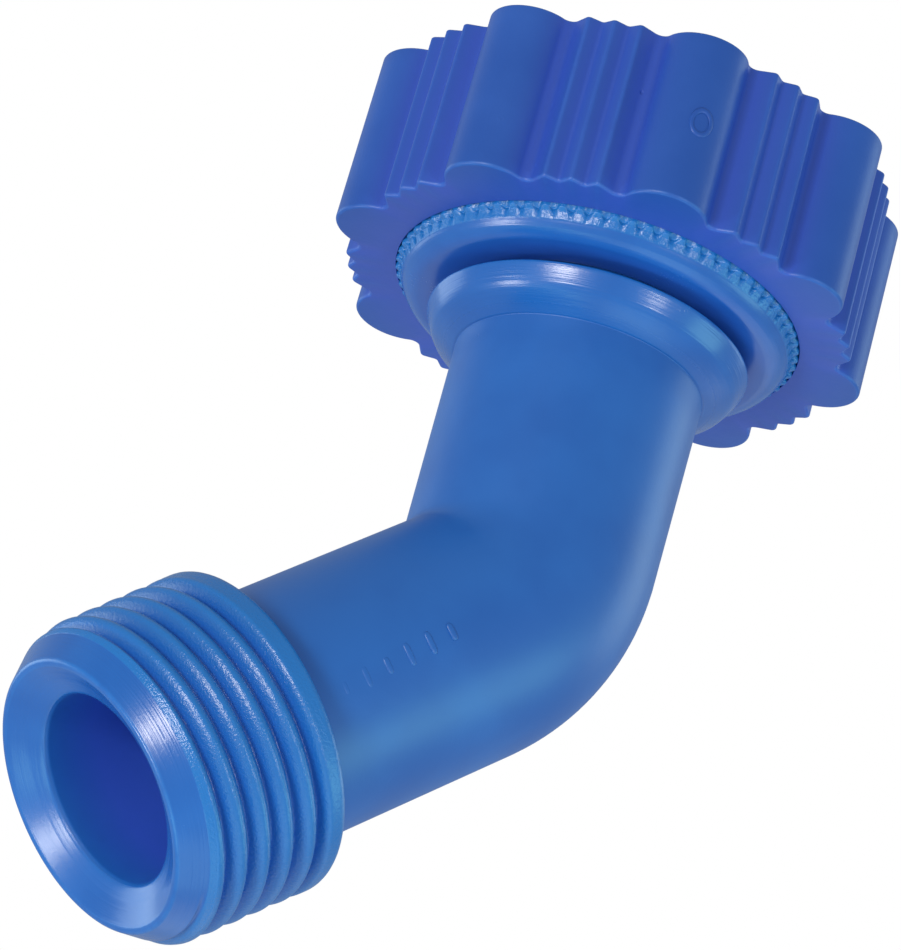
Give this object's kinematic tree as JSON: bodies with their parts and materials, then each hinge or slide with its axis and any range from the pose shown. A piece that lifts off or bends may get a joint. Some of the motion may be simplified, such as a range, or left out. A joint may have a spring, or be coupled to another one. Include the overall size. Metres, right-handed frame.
{
  "type": "garden hose elbow",
  "caption": "45 degree moulded plastic hose elbow: male hose thread at one end, swivelling hand-tightened female hose nut with a lobed grip and rubber washer at the other.",
  "frame": {"origin": "centre of the hose washer's sealing face, where the tap's outlet meets the elbow, on the swivel nut's axis", "axes": "+Z along the swivel nut's axis, out of the nut towards the tap; the male hose end leaves down and towards -X, 45 degrees below -X; Y is square to the plane of the bend"},
  "size_m": [0.0589, 0.0434, 0.0799],
  "materials": {
    "glossy_blue_plastic": "glossy moulded plastic, azure blue",
    "satin_blue_plastic": "satin moulded plastic, a little more violet",
    "black_rubber": "matt"
  },
  "bodies": {
    "elbow": {"elbow_body": "glossy_blue_plastic", "tailpiece": "glossy_blue_plastic"},
    "washer": {"hose_washer": "black_rubber"},
    "nut": {"swivel_nut": "glossy_blue_plastic", "grip_ring": "satin_blue_plastic"}
  },
  "joints": [
    {"name": "nut_slide", "type": "slide", "parent": "elbow", "child": "washer", "axis": [0, 0, 1], "range_m": [0, 0.0007]},
    {"name": "nut_spin", "type": "hinge", "parent": "washer", "child": "nut", "pos_m": [0, 0, 0], "axis": [0, 0, 1], "continuous": true}
  ]
}
